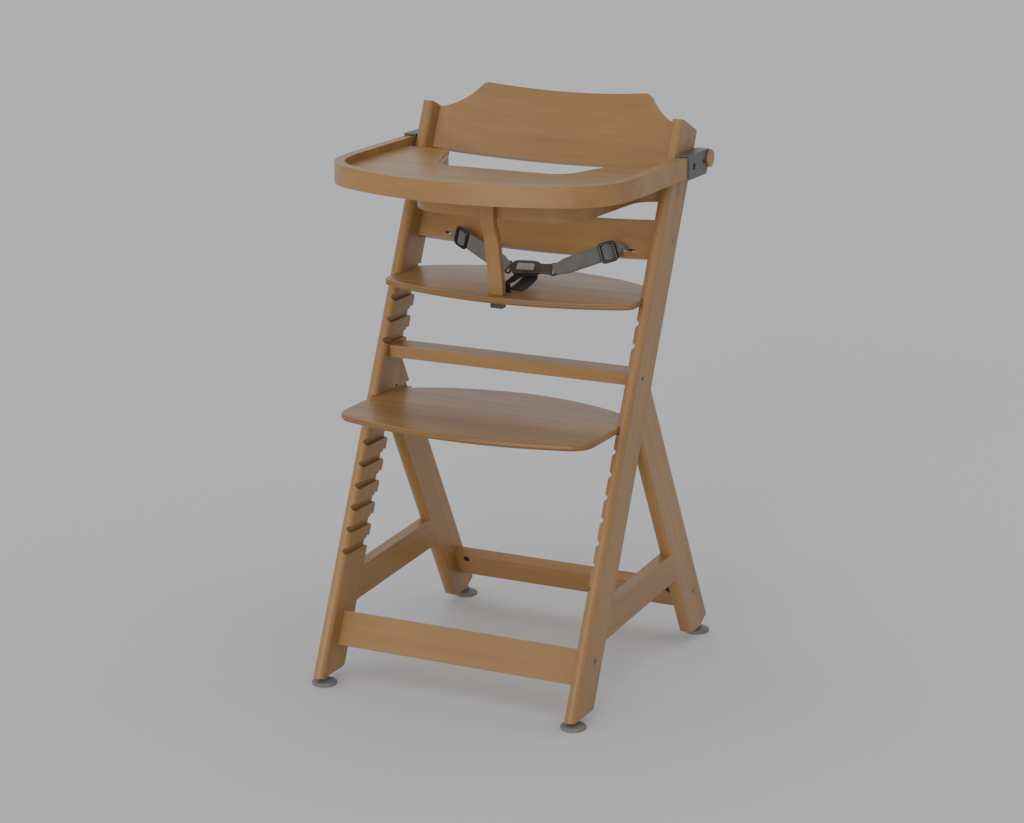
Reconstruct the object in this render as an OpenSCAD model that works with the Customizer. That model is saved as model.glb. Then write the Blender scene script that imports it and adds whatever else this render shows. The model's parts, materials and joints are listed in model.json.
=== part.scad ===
// Baby high chair: two leaning side frames joined by rungs and bent boards, a seat and a
// footrest in grooves, a belly bar with a crotch post, a hook-on tray and a lap harness.
// Lengths are in mm; the floor is z = 0, the child faces -Y and the chair is symmetric in X.

/* [Side frames] */
// half of the gap between the two side frames
inner_half = 181.5; // [178:0.5:186]
// thickness of posts, rear legs and struts
board_t = 16.8; // [16:0.2:18]
// flat width of a post behind its rounded front edge
post_w = 49.1; // [47:0.1:52]
// length of a post along its lean
post_len = 834; // [825:1:850]
// backward lean of the posts in degrees
lean = 24.13; // [23.5:0.01:24.5]
// flat width of a rear leg behind its rounded front edge
rear_w = 52.6; // [50:0.1:55]
// forward tilt of the rear legs in degrees
rear_tilt = 29.03; // [28.5:0.01:29.5]
// height of the wooden leg ends above the floor
leg_gap = 13; // [12:0.5:15]
// height of the side struts
strut_h = 43.5; // [36:0.5:46]

/* [Grooves and panels] */
// pitch of the panel grooves
groove_pitch = 28.1; // [27.5:0.1:28.5]
// height of the lowest groove
low_groove_z = 174.5; // [172:0.5:176]
// height of the lowest of the upper grooves
high_groove_z = 446.8; // [446:0.1:448]
// height of a groove
groove_h = 9.6; // [9.6:0.1:10]
// depth of a groove in the post
groove_depth = 6.5; // [6.5:0.1:7]
// thickness of seat, footrest and tray panel
panel_t = 9; // [8.5:0.1:9]
// half of the width of seat and footrest
panel_half = 187.5; // [187:0.1:187.6]

/* [Back boards] */
// thickness of the two bent boards and the belly bar
bent_t = 12; // [11:0.5:12.5]
// depth of the bow in the backrest
back_sag = 30; // [26:1:32]
// depth of the bow in the lower back rail
rail_sag = 27; // [24:1:30]
// height of the lower back rail
rail_h = 53.4; // [50:0.2:56]
// width of a harness slot
slot_w = 25; // [25:0.5:28]

/* [Belly bar and crotch post] */
// height of the belly bar
belly_h = 42; // [40:0.5:43]
// width of the crotch post
crotch_w = 20.5; // [19:0.5:21]
// thickness of the crotch post
crotch_t = 10.5; // [9.5:0.5:10.5]

/* [Tray] */
// front of the tray rim
tray_front = -4; // [-8:0.5:0]
// thickness of the tray rim
rim_t = 14; // [13:0.2:14]
// height of the tray rim
rim_h = 28; // [26:0.5:28]
// thickness of the bracket steel
steel_t = 2; // [1.6:0.1:2]
// radius of the round tray peg
peg_r = 12.3; // [11:0.1:12.8]

/* [Floor pads] */
// radius of a floor pad
pad_r = 17.3; // [15:0.1:19]
// height of a floor pad
pad_h = 7; // [6:0.5:8]

/* [Hidden] */
$fn = 96;
lap = 0.08;
run_gap = 0.05;
arc_step = 7;
free_gap = 0.4;
nose_r = board_t / 2;
outer_x = inner_half + board_t;
post_y = -16.5;
rear_y = 389.3;
rear_pad_y = 426;
pad_x = inner_half + 7.2;
post_round = 4;
heel_round = 8;
toe_round = 20;
rear_heel_round = 3;

function lean_point(u, v) = [
    post_y + u * cos(lean) + v * sin(lean),
    v * cos(lean) - u * sin(lean)
];
function lean_line(u, z) = post_y + u / cos(lean) + z * tan(lean);
function rear_point(p, q) = [
    rear_y + p * cos(rear_tilt) - q * sin(rear_tilt),
    p * sin(rear_tilt) + q * cos(rear_tilt)
];
function rear_line(p, z) = rear_y + p / cos(rear_tilt) - z * tan(rear_tilt);
// height at which a line of the rear leg meets the back edge of the post
function meet_z(p) = (rear_line(p, 0) - lean_line(post_w, 0)) / (tan(lean) + tan(rear_tilt));

front_y = lean_line(-nose_r, leg_gap);
back_y = rear_pad_y + pad_r;
mid_y = (front_y + back_y) / 2;

// grooves: eight low ones, four high ones; the top one of each set carries a panel
low_grooves = [for (k = [0:7]) low_groove_z + k * groove_pitch];
high_grooves = [for (k = [0:3]) high_groove_z + k * groove_pitch];
foot_z = low_grooves[7];
seat_z = high_grooves[3];
groove_stop_u = -3.6;
mouth_r = 5;
mouth_step = 3.5;

// front rung, leaning with the posts
front_rung_u = 17.6;
front_rung_v = 62.6;
rung_t = 17;
front_rung_h = 48;
// rear rung, leaning with the rear legs
rear_rung_p = 25.5;
rear_rung_q = 37;
rear_rung_h = 39.5;
// middle rung, lying flat
mid_rung_y = 183.7;
mid_rung_w = 36.3;
mid_rung_z = 423;
// struts
strut_y = 82;
strut_z = 98;
strut_rise = 3.15;
strut_len = 300;

// fastener positions as [y, z] on the side frames
front_bolt = lean_point(25, 98);
rear_bolt = rear_point(32, 69);
mid_bolt = [193, mid_rung_z + rung_t / 2];
back_screw = lean_point(25.5, 812);
rail_screw = lean_point(33, 674);
belly_screws = [[305.7, 682.4], [304.7, 663.7]];
bolt_head_r = 5.2;
bolt_head_t = 2.4;
bolt_r = 3;
nut_x = 163;
nut_r = 5;
nut_len = 12;
screw_r = 2.2;
screw_reach = 11;

// backrest and lower rail, in the frame of the posts
back_end_u = 18;
back_foot_v = 773;
back_top_v = 877;
back_dip = 2.5;
shoulder_r = 105;
shoulder_x = 216;
shoulder_v = 931.3;
shoulder_round = 12;
rail_end_u = 26;
rail_v = 647.2;
slot_x = 133;
slot_v = 657;
slot_h = 3.4;

// belly bar, in its own slightly tilted frame
belly_y = 135;
belly_z = 643.5;
belly_tilt = 3.16;
belly_steps = [[0, 78], [80, 52], [0, 92.5], [-54, 28], [0, 40]];
crotch_steps = [[0, 43], [27, 26], [0, 8], [-18, 50], [0, 42], [-7, 330]];
crotch_slot_y = 158.5;
crotch_slot_d = 15;
crotch_bolt_z = 9;
crotch_bolt_in = 7;
crotch_bolt_r = 2.5;
crotch_foot_z = 526.7;
foot_block = [18, 12, 10];

// seat and footrest outlines
seat_front = 136;
seat_front_r = 430;
seat_corner = 16;
seat_back = 336;
seat_back_r = 305;
foot_front = 7;
foot_front_r = 540;
foot_corner = 34;
foot_back = 252;
foot_back_r = 330;
back_corner = 10;
strap_slot_y = 174;

// tray, its rim leaving the middle at right angles and ending in two straight arms
rim_z = 687;
tray_panel_z = 696;
arm_x = 214.85;
bow_turn = 26.5;
side_turn = 82;
corner_r = 90;
flank_r = 400;
bow_r = (arm_x - corner_r * (sin(side_turn) - sin(bow_turn)) - flank_r * (1 - sin(side_turn)))
    / sin(bow_turn);
arm_y = tray_front + bow_r * (1 - cos(bow_turn))
    + corner_r * (cos(bow_turn) - cos(side_turn)) + flank_r * cos(side_turn);
arm_end = 357;
rim_rebate = 4;
panel_back = 283;
waist_front = 161;
waist_half = 93;
throat_half = 131;
throat_y = 273;
waist_wide = 232;
waist_far = 279;
horn_round = 14;

// tray brackets
bracket_front = 298;
bracket_foot = 684.5;
bracket_heel = 359;
bracket_top = 718;
inner_plate_x = outer_x + free_gap;
outer_plate_x = 215;
peg = [368.5, 704.5];
peg_core_r = 8;
peg_in_x = 182;
peg_cap_t = 3;
lobe_r = 11.5;
spy_hole = [315, 700.8];
spy_r = 5;
tray_screw = [350, 703];
tray_screw_r = 1.9;

// floor pads
pad_collar_r = 5.5;
stem_r = 3;
stem_top = 40;
stem_foot = 2.5;

// harness; each strap is a list of [centre, width direction] stations
strap_w = 23;
strap_t = 1.5;
slider_len = 20;
slider_w = 27.5;
slider_t = 5.6;
stop_r = 2.5;
buckle_at = [3, 239, 556];
buckle_turn = [50, -1, 8];
buckle_len = 42;
buckle_w = 21;
buckle_t = 9.4;
tongue_in = 11;
tongue_w = 15;
tongue_t = 3;
left_reach = 8;
right_reach = 22;
button_len = 24;
button_w = 9.5;
button_floor = 2.6;
button_travel = 1.2;
left_stations = [
    [[-133, 304, 576.5], [1, 0, 0]],
    [[-133, 281.5, 586.5], [1, 0, 0]],
    [[-121, 274.5, 586], [0.31, -0.11, 0.94]],
    [[-101, 267, 579], [0.31, -0.11, 0.94]],
    [[-66, 254, 568], [0.2, 0.25, 0.95]],
    [[-29.5, 234.6, 555.5], [0, 0.6, 0.8]]
];
right_stations = [
    [[133, 304, 576.5], [1, 0, 0]],
    [[133, 281.5, 586.5], [1, 0, 0]],
    [[122, 273, 586], [-0.3, 0.1, 0.94]],
    [[101, 264, 579], [-0.3, 0.1, 0.94]],
    [[76, 254, 569], [0, 0.4, 0.9]],
    [[49, 246, 557.5], [0.1, 0.62, 0.78]]
];
crotch_stations = [
    [[0, 174, 527.6], [1, 0, 0]],
    [[0, 174, 538], [1, 0, 0]],
    [[3, 184, 546], [1, 0, 0]],
    [[5, 206, 548], [1, 0, 0]],
    [[5, 224, 541.5], [1, 0, 0]]
];

// ---- helpers -------------------------------------------------------------------------

// everything is laid out from the front pads and moved to the middle of the footprint
module placed() {
    translate([0, -mid_y, 0]) children();
}

module lean_frame() {
    translate([0, post_y, 0]) rotate([-lean, 0, 0]) children();
}

module rear_frame() {
    translate([0, rear_y, 0]) rotate([rear_tilt, 0, 0]) children();
}

module belly_frame() {
    translate([0, belly_y, belly_z]) rotate([belly_tilt, 0, 0]) children();
}

module on_side(side) {
    if (side > 0) children();
    else mirror([1, 0, 0]) children();
}

// a (y, z) outline as a plate starting at x
module side_plate(x, t) {
    translate([x, 0, 0]) rotate([90, 0, 90]) linear_extrude(height = t) children();
}

// a bore or pin along X at a [y, z] site
module cross_pin(site, x0, x1, r) {
    translate([x0, site[0], site[1]]) rotate([0, 90, 0]) cylinder(h = x1 - x0, r = r);
}

function toward(a, b) = (b - a) / norm(b - a);
function heading(v) = atan2(v[1], v[0]);
function wrapped(angle) = angle > 180 ? angle - 360 : angle <= -180 ? angle + 360 : angle;

// points along an arc, close enough together to look round
function arc_points(centre, r, a0, a1) =
    let (n = max(2, ceil(abs(a1 - a0) / 9), ceil(abs(a1 - a0) * r * PI / 180 / arc_step)))
    [for (k = [0:n]) centre + r * [cos(a0 + (a1 - a0) * k / n), sin(a0 + (a1 - a0) * k / n)]];

// one corner at p between its neighbours a and b, rounded by r
function soft_corner(a, p, b, r) = r == 0 ? [p] :
    let (
        half = acos(toward(p, a) * toward(p, b)) / 2,
        middle = toward(p, a) + toward(p, b),
        centre = p + middle / norm(middle) * r / sin(half),
        start = heading(p + toward(p, a) * r / tan(half) - centre),
        end = heading(p + toward(p, b) * r / tan(half) - centre)
    )
    arc_points(centre, r, start, start + wrapped(end - start));

// the same for a side member, whose convex corners are true arcs
module arc_polygon(pts, radii) {
    n = len(pts);
    polygon([for (i = [0:n - 1], other = [(i + n - 1) % n, (i + 1) % n])
        pts[i] + toward(pts[i], pts[other]) * radii[i] / tan(corner_half(pts, i))]);
    for (i = [0:n - 1])
        if (radii[i] > 0) {
            middle = toward(pts[i], pts[(i + n - 1) % n]) + toward(pts[i], pts[(i + 1) % n]);
            translate(pts[i] + middle / norm(middle) * radii[i] / sin(corner_half(pts, i)))
                circle(r = radii[i]);
        }
}

function corner_half(pts, i) =
    let (n = len(pts))
    acos(toward(pts[i], pts[(i + n - 1) % n]) * toward(pts[i], pts[(i + 1) % n])) / 2;

// polygon with each corner rounded by its own radius
module soft_polygon(pts, radii) {
    n = len(pts);
    polygon([for (i = [0:n - 1])
        each soft_corner(pts[(i + n - 1) % n], pts[i], pts[(i + 1) % n], radii[i])]);
}

function reversed(list) = [for (i = [len(list) - 1:-1:0]) list[i]];

// a half outline that starts on the middle line, with its mirror image put before it
function mirrored(pts) = concat(
    [for (i = [len(pts) - 1:-1:1]) [-pts[i][0], pts[i][1]]],
    pts
);

// cross-section of a side member: flat faces, half-round front edge
module member_section(w) {
    square([board_t, w]);
    translate([nose_r, 0]) circle(r = nose_r);
}

// stations [point, heading] along the right-hand face of a bent strip; each step is
// [turn, radius of that face] or [0, length]
function strip_path(steps, at = [0, 0], dir = 0, i = 0) =
    i == len(steps) ? [[at, dir]] :
    let (turn = steps[i][0], size = steps[i][1])
    turn == 0 ? concat(
        [[at, dir]],
        strip_path(steps, at + size * [cos(dir), sin(dir)], dir, i + 1)
    ) :
    let (
        r = sign(turn) * size,
        centre = at + r * [-sin(dir), cos(dir)],
        n = max(3, ceil(abs(turn) / 6))
    )
    concat(
        [for (k = [0:n - 1]) let (a = dir + turn * k / n) [centre + r * [sin(a), -cos(a)], a]],
        strip_path(steps, centre + r * [sin(dir + turn), -cos(dir + turn)], dir + turn, i + 1)
    );

// points of the line that runs d to the left of the path
function strip_face(path, d) = [for (s = path) s[0] + d * [-sin(s[1]), cos(s[1])]];

// flat webbing through a list of [centre, width direction] stations
module ribbon(stations, w, t) {
    for (i = [0:len(stations) - 2])
        hull() {
            ribbon_station(stations[i], w, t);
            ribbon_station(stations[i + 1], w, t);
        }
}

module ribbon_station(station, w, t) {
    for (s = [-1, 1]) translate(station[0] + s * (w - t) / 2 * station[1] / norm(station[1]))
        sphere(d = t, $fn = 8);
}

// ---- side frames ---------------------------------------------------------------------

// horizontal groove; an open one runs through the rounded front edge
module groove(z, open) {
    start = lean_line(open ? -nose_r - mouth_r : groove_stop_u, z);
    end = lean_line(post_w, z);
    side_plate(inner_half - 1, groove_depth + 1) {
        translate([start, z - groove_h / 2]) square([end - start + groove_h, groove_h]);
        translate([start, z]) circle(d = groove_h);
        for (s = [-1, 1]) translate([end - 1, z + s * mouth_step]) circle(r = mouth_r);
    }
}

module bolt_bore(site, tip_x) {
    cross_pin(site, tip_x, outer_x + 1, bolt_r + run_gap);
    cross_pin(site, outer_x - bolt_head_t - run_gap, outer_x + 1, bolt_head_r + run_gap);
}

module screw_bore(site) {
    cross_pin(site, inner_half - screw_reach - run_gap, outer_x + 1, screw_r + run_gap);
    cross_pin(site, outer_x - bolt_head_t - run_gap, outer_x + 1, bolt_head_r + run_gap);
}

module all_bores() {
    for (site = [front_bolt, rear_bolt, mid_bolt]) bolt_bore(site, nut_x - nut_r - 2);
    for (site = concat([back_screw, rail_screw], belly_screws)) screw_bore(site);
}

module stem_bore(y) {
    translate([pad_x, y, 0]) cylinder(h = stem_top + 1, r = stem_r + run_gap);
}

module post(side) {
    placed() on_side(side) difference() {
        intersection() {
            lean_frame() translate([inner_half, 0, 0]) linear_extrude(height = post_len + 20)
                member_section(post_w);
            side_plate(inner_half - 1, board_t + 2) arc_polygon(
                [
                    [lean_line(-nose_r, leg_gap), leg_gap],
                    [lean_line(post_w, leg_gap), leg_gap],
                    lean_point(post_w, post_len),
                    lean_point(-nose_r, post_len)
                ],
                [1, heel_round, post_round, post_round]
            );
        }
        for (k = [0:6]) groove(low_grooves[k], false);
        groove(foot_z, true);
        for (k = [0:2]) groove(high_grooves[k], false);
        groove(seat_z, true);
        all_bores();
        stem_bore(0);
    }
}

module rear_leg_blank() {
    intersection() {
        rear_frame() translate([inner_half, 0, 0]) linear_extrude(height = 520)
            member_section(rear_w);
        side_plate(inner_half - 1, board_t + 2) arc_polygon(
            [
                [rear_line(-nose_r, leg_gap), leg_gap],
                [rear_line(rear_w, leg_gap), leg_gap],
                [rear_line(rear_w, meet_z(rear_w)), meet_z(rear_w)],
                [lean_line(post_w, 300), 300],
                [rear_line(-nose_r, 300), 300]
            ],
            [toe_round, rear_heel_round, 0, 0, 0]
        );
    }
}

module rear_leg(side) {
    placed() on_side(side) difference() {
        rear_leg_blank();
        // everything in front of the post's back edge belongs to the post
        lean_frame() translate([inner_half - 1, post_w - 300, 0])
            cube([board_t + 2, 300, 800]);
        side_plate(inner_half - 1, groove_depth + 1)
            translate([0, foot_z - groove_h / 2]) square([rear_y, groove_h]);
        all_bores();
        stem_bore(rear_pad_y);
    }
}

module strut(side) {
    placed() on_side(side) difference() {
        translate([inner_half, strut_y, strut_z]) rotate([strut_rise, 0, 0])
            translate([0, -20, 0]) cube([board_t, strut_len, strut_h]);
        lean_frame() translate([inner_half - 1, post_w - 300, 0]) cube([board_t + 2, 300, 800]);
        rear_frame() translate([inner_half, 0, 0]) linear_extrude(height = 520)
            member_section(rear_w);
        rear_frame() translate([inner_half - 1, 0, 0]) cube([board_t + 2, 200, 520]);
    }
}

// ---- rungs and back boards -----------------------------------------------------------

module nut_bore(gap) {
    cylinder(h = nut_len + gap, r = nut_r + gap);
}

module front_rung() {
    color("tan") placed() difference() {
        lean_frame() translate([-inner_half, front_rung_u, front_rung_v])
            cube([2 * inner_half, rung_t, front_rung_h]);
        for (side = [-1, 1]) on_side(side) {
            bolt_bore(front_bolt, nut_x - nut_r - 2);
            front_nut(run_gap);
        }
    }
}

// the front nuts go in from behind, the rear ones from the front, the middle ones from below
module front_nut(gap) {
    translate([nut_x, front_bolt[0], front_bolt[1]]) rotate([-90 - lean, 0, 0])
        translate([0, 0, -nut_len / 2]) nut_bore(gap);
}

module rear_nut(gap) {
    translate([nut_x, rear_bolt[0], rear_bolt[1]]) rotate([90 + rear_tilt, 0, 0])
        translate([0, 0, -nut_len / 2]) nut_bore(gap);
}

module mid_nut(gap) {
    translate([nut_x, mid_bolt[0], mid_bolt[1]]) rotate([180, 0, 0])
        translate([0, 0, -nut_len / 2]) nut_bore(gap);
}

module rear_rung() {
    color("tan") placed() difference() {
        rear_frame() translate([-inner_half, rear_rung_p, rear_rung_q])
            cube([2 * inner_half, rung_t, rear_rung_h]);
        for (side = [-1, 1]) on_side(side) {
            bolt_bore(rear_bolt, nut_x - nut_r - 2);
            rear_nut(run_gap);
            translate([nut_x, rear_bolt[0], rear_bolt[1]]) rotate([90 + rear_tilt, 0, 0])
                cylinder(h = rung_t, r = nut_r + run_gap);
        }
    }
}

module mid_rung() {
    color("tan") placed() difference() {
        translate([-inner_half, mid_rung_y, mid_rung_z]) cube([2 * inner_half, mid_rung_w, rung_t]);
        for (side = [-1, 1]) on_side(side) {
            bolt_bore(mid_bolt, nut_x - nut_r - 2);
            mid_nut(run_gap);
            translate([nut_x, mid_bolt[0], mid_rung_z - 1])
                cylinder(h = rung_t / 2 + 1, r = nut_r + run_gap);
        }
    }
}

// board bent to an arc, hollow side to the front
module bowed_board(end_u, sag, v, h) {
    bow = (inner_half * inner_half + sag * sag) / (2 * sag);
    half_angle = asin(inner_half / bow) + 2;
    translate([0, end_u + sag - bow, v]) rotate([0, 0, 90 - half_angle])
        rotate_extrude(angle = 2 * half_angle, $fn = 200)
            translate([bow, 0]) square([bent_t, h]);
}

// an (x, v) outline pushed through the back boards
module front_plate() {
    translate([0, 100, 0]) rotate([90, 0, 0]) linear_extrude(height = 100) children();
}

module backrest_outline() {
    round_x = shoulder_x - sqrt(pow(shoulder_r + shoulder_round, 2)
        - pow(shoulder_v - back_top_v + shoulder_round, 2));
    touch_v = shoulder_v - shoulder_r / (shoulder_r + shoulder_round)
        * (shoulder_v - back_top_v + shoulder_round);
    dip_r = (round_x * round_x + back_dip * back_dip) / (2 * back_dip);
    difference() {
        union() {
            translate([-inner_half, back_foot_v])
                square([2 * inner_half, touch_v - back_foot_v]);
            translate([-round_x, back_foot_v]) square([2 * round_x, back_top_v - back_foot_v]);
            for (s = [-1, 1]) translate([s * round_x, back_top_v - shoulder_round])
                circle(r = shoulder_round);
        }
        for (s = [-1, 1]) translate([s * shoulder_x, shoulder_v]) circle(r = shoulder_r + lap);
        translate([0, back_top_v - back_dip + dip_r]) circle(r = dip_r, $fn = 400);
    }
}

module backrest_board() {
    color("burlywood") placed() difference() {
        lean_frame() intersection() {
            bowed_board(back_end_u, back_sag, back_foot_v - 5, back_top_v - back_foot_v + 10);
            front_plate() backrest_outline();
        }
        for (side = [-1, 1]) on_side(side) screw_bore(back_screw);
    }
}

module lower_back_rail() {
    color("burlywood") placed() difference() {
        lean_frame() intersection() {
            bowed_board(rail_end_u, rail_sag, rail_v, rail_h);
            front_plate() difference() {
                translate([-inner_half, rail_v - 5]) square([2 * inner_half, rail_h + 10]);
                for (s = [-1, 1]) translate([s * slot_x - slot_w / 2, slot_v - slot_h / 2])
                    square([slot_w, slot_h]);
            }
        }
        for (side = [-1, 1]) on_side(side) screw_bore(rail_screw);
    }
}

// ---- seat and footrest ---------------------------------------------------------------

// bowed front edge with rounded corners, left to right, its middle at y = 0
function bowed_edge(r, corner) =
    let (
        inset = panel_half - corner,
        slant = asin(inset / (r - corner)),
        depth = r - (r - corner) * cos(slant)
    )
    concat(
        arc_points([-inset, depth], corner, 180, 270 - slant),
        arc_points([0, r], r, 270 - slant, 270 + slant),
        arc_points([inset, depth], corner, 270 + slant, 360)
    );

module panel_outline(front, front_r, front_corner, back, back_r) {
    polygon(concat(
        [for (p = bowed_edge(front_r, front_corner)) [p[0], front + p[1]]],
        reversed([for (p = bowed_edge(back_r, back_corner)) [p[0], back - p[1]]])
    ));
}

module seat_panel() {
    color("rosybrown") placed() translate([0, 0, seat_z - panel_t / 2])
        linear_extrude(height = panel_t) difference() {
            panel_outline(seat_front, seat_front_r, seat_corner, seat_back, seat_back_r);
            translate([-crotch_w / 2 - free_gap, crotch_slot_y - crotch_slot_d / 2])
                square([crotch_w + 2 * free_gap, crotch_slot_d]);
            translate([-strap_w / 2 - 1, strap_slot_y - slot_h / 2]) square([strap_w + 2, slot_h]);
        }
}

module footrest_panel() {
    color("rosybrown") placed() translate([0, 0, foot_z - panel_t / 2])
        linear_extrude(height = panel_t)
            panel_outline(foot_front, foot_front_r, foot_corner, foot_back, foot_back_r);
}

// ---- belly bar and crotch post -------------------------------------------------------

module belly_bar() {
    color("peru") placed() difference() {
        intersection() {
            belly_frame() linear_extrude(height = belly_h) polygon(concat(
                mirrored(strip_face(strip_path(belly_steps), 0)),
                reversed(mirrored(strip_face(strip_path(belly_steps), bent_t)))
            ));
            translate([-inner_half, 0, 0]) cube([2 * inner_half, 500, 900]);
        }
        for (side = [-1, 1], site = belly_screws) on_side(side) screw_bore(site);
        crotch_pin(run_gap);
    }
}

module crotch_post() {
    color("peru") placed() difference() {
        belly_frame() translate([-crotch_w / 2, -crotch_t, belly_h - 1]) rotate([0, 90, 0])
            linear_extrude(height = crotch_w) polygon(concat(
                strip_face(strip_path(crotch_steps), 0),
                reversed(strip_face(strip_path(crotch_steps), crotch_t))
            ));
        translate([-crotch_w, crotch_slot_y - crotch_slot_d, crotch_foot_z - 50])
            cube([2 * crotch_w, 2 * crotch_slot_d, 50]);
        crotch_pin(run_gap);
    }
}

// one bolt from behind the bar into the crotch post
module crotch_pin(gap) {
    belly_frame() translate([0, -crotch_bolt_in - gap, crotch_bolt_z]) rotate([-90, 0, 0])
        cylinder(h = crotch_bolt_in + bent_t + 1 + gap, r = crotch_bolt_r + gap);
}

module crotch_bolt() {
    color("dimgray") placed() {
        crotch_pin(0);
        belly_frame() translate([0, bent_t + run_gap, crotch_bolt_z]) rotate([-90, 0, 0])
            cylinder(h = 2.2, r = 5.2);
    }
}

module crotch_cap() {
    color("gray") placed()
        translate([
            -foot_block[0] / 2,
            crotch_slot_y - foot_block[1] / 2,
            crotch_foot_z - foot_block[2] - run_gap
        ])
            cube(foot_block);
}

// ---- tray ----------------------------------------------------------------------------

// the rim's path, its arms ending at y = end
function rim_path(end) = strip_path(
    [
        [bow_turn, bow_r],
        [side_turn - bow_turn, corner_r],
        [90 - side_turn, flank_r],
        [0, end - arm_y]
    ],
    [0, tray_front]
);

// the panel before its waist is cut, let into the rim's rebate
module tray_inset() {
    translate([0, 0, tray_panel_z]) linear_extrude(height = panel_t)
        polygon(mirrored(strip_face(rim_path(panel_back), rim_t - rim_rebate)));
}

module tray_panel() {
    color("burlywood") placed() difference() {
        tray_inset();
        translate([0, 0, tray_panel_z - 1]) linear_extrude(height = panel_t + 2)
            soft_polygon(
                [
                    [-waist_half, waist_front],
                    [waist_half, waist_front],
                    [throat_half, throat_y],
                    [waist_wide, waist_far],
                    [waist_wide, panel_back + 10],
                    [-waist_wide, panel_back + 10],
                    [-waist_wide, waist_far],
                    [-throat_half, throat_y]
                ],
                [30, 30, horn_round, 0, 0, 0, 0, horn_round]
            );
    }
}

module tray_rim() {
    color("tan") placed() difference() {
        translate([0, 0, rim_z]) linear_extrude(height = rim_h) polygon(concat(
            mirrored(strip_face(rim_path(arm_end), 0)),
            reversed(mirrored(strip_face(rim_path(arm_end), rim_t)))
        ));
        tray_inset();
        for (side = [-1, 1]) on_side(side) {
            cross_pin(tray_screw, outer_plate_x - 11, outer_plate_x + 1, tray_screw_r + run_gap);
            cross_pin(spy_hole, outer_plate_x - 9, outer_plate_x + 1, spy_r);
        }
    }
}

module bracket_outline() {
    soft_polygon(
        [
            [bracket_front, bracket_foot],
            [bracket_heel, bracket_foot],
            [peg[0] - 1, peg[1] - lobe_r / 2],
            [peg[0] - 1, bracket_top - steel_t],
            [bracket_front, bracket_top - steel_t]
        ],
        [1.5, 1.5, 0, 0, 0]
    );
    translate(peg) circle(r = lobe_r);
}

module tray_bracket(side) {
    placed() on_side(side) difference() {
        union() {
            side_plate(inner_plate_x, steel_t) bracket_outline();
            side_plate(outer_plate_x, steel_t) bracket_outline();
            translate([inner_plate_x, bracket_front, bracket_top - steel_t])
                cube([outer_plate_x + steel_t - inner_plate_x, peg[0] - 1 - bracket_front, steel_t]);
        }
        cross_pin(peg, inner_plate_x - 1, outer_plate_x + steel_t + 1, peg_core_r + run_gap);
        cross_pin(spy_hole, outer_plate_x - 1, outer_plate_x + steel_t + 1, spy_r);
        cross_pin(tray_screw, outer_plate_x - 1, outer_plate_x + steel_t + 1,
            tray_screw_r + run_gap);
    }
}

module tray_peg(side) {
    placed() on_side(side) {
        cross_pin(peg, peg_in_x, inner_plate_x - run_gap, peg_r);
        cross_pin(peg, peg_in_x, outer_plate_x + steel_t + 1.5, peg_core_r);
    }
}

module tray_peg_cap(side) {
    placed() on_side(side) difference() {
        cross_pin(peg, outer_plate_x + steel_t + run_gap, outer_plate_x + steel_t + peg_cap_t,
            peg_r);
        cross_pin(peg, outer_plate_x, outer_plate_x + steel_t + 1.5 + run_gap,
            peg_core_r + run_gap);
    }
}

module tray_screws() {
    color("dimgray") placed() for (side = [-1, 1]) on_side(side) {
        cross_pin(tray_screw, outer_plate_x - 10, outer_plate_x + steel_t + 0.5, tray_screw_r);
        cross_pin(tray_screw, outer_plate_x + steel_t + run_gap, outer_plate_x + steel_t + 1.2, 2.9);
    }
}

// ---- fasteners -----------------------------------------------------------------------

module frame_bolts() {
    color("silver") placed() for (side = [-1, 1], site = [front_bolt, rear_bolt, mid_bolt])
        on_side(side) {
            cross_pin(site, nut_x - nut_r - 1, outer_x - bolt_head_t, bolt_r);
            cross_pin(site, outer_x - bolt_head_t, outer_x - 0.1, bolt_head_r);
        }
}

module board_screws() {
    color("silver") placed()
        for (side = [-1, 1], site = concat([back_screw, rail_screw], belly_screws))
            on_side(side) {
                cross_pin(site, inner_half - screw_reach, outer_x - bolt_head_t, screw_r);
                cross_pin(site, outer_x - bolt_head_t, outer_x - 0.1, bolt_head_r);
            }
}

module barrel_nuts() {
    color("gray") placed() for (side = [-1, 1]) on_side(side) {
        difference() {
            front_nut(0);
            cross_pin(front_bolt, nut_x - 10, nut_x + 10, bolt_r + run_gap);
        }
        difference() {
            rear_nut(0);
            cross_pin(rear_bolt, nut_x - 10, nut_x + 10, bolt_r + run_gap);
        }
        difference() {
            mid_nut(0);
            cross_pin(mid_bolt, nut_x - 10, nut_x + 10, bolt_r + run_gap);
        }
    }
}

// ---- floor pads ----------------------------------------------------------------------

module pad(side, y) {
    placed() translate([side * pad_x, y, 0]) difference() {
        rotate_extrude() polygon([
            [0, 0],
            [pad_r - 1.5, 0],
            [pad_r, 1.5],
            [pad_r, pad_h - 2.5],
            [pad_r - 2.5, pad_h - 0.7],
            [pad_collar_r + 2, pad_h],
            [0, pad_h]
        ]);
        translate([0, 0, stem_foot]) cylinder(h = pad_h, r = stem_r + run_gap);
    }
}

module stem(side, y) {
    placed() translate([side * pad_x, y, 0]) {
        translate([0, 0, stem_foot + run_gap]) cylinder(h = stem_top - stem_foot, r = stem_r);
        translate([0, 0, pad_h + run_gap]) cylinder(h = leg_gap - pad_h - 0.4, r = pad_collar_r);
    }
}

// ---- harness -------------------------------------------------------------------------

// frame with x from a toward b and z close to the direction w
module along(a, b, w) {
    ex = toward(a, b);
    ey = cross(w, ex) / norm(cross(w, ex));
    ez = cross(ex, ey);
    multmatrix([
        [ex[0], ey[0], ez[0], a[0]],
        [ex[1], ey[1], ez[1], a[1]],
        [ex[2], ey[2], ez[2], a[2]]
    ]) children();
}

module lap_strap(stations) {
    placed() ribbon(stations, strap_w, strap_t);
}

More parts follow.
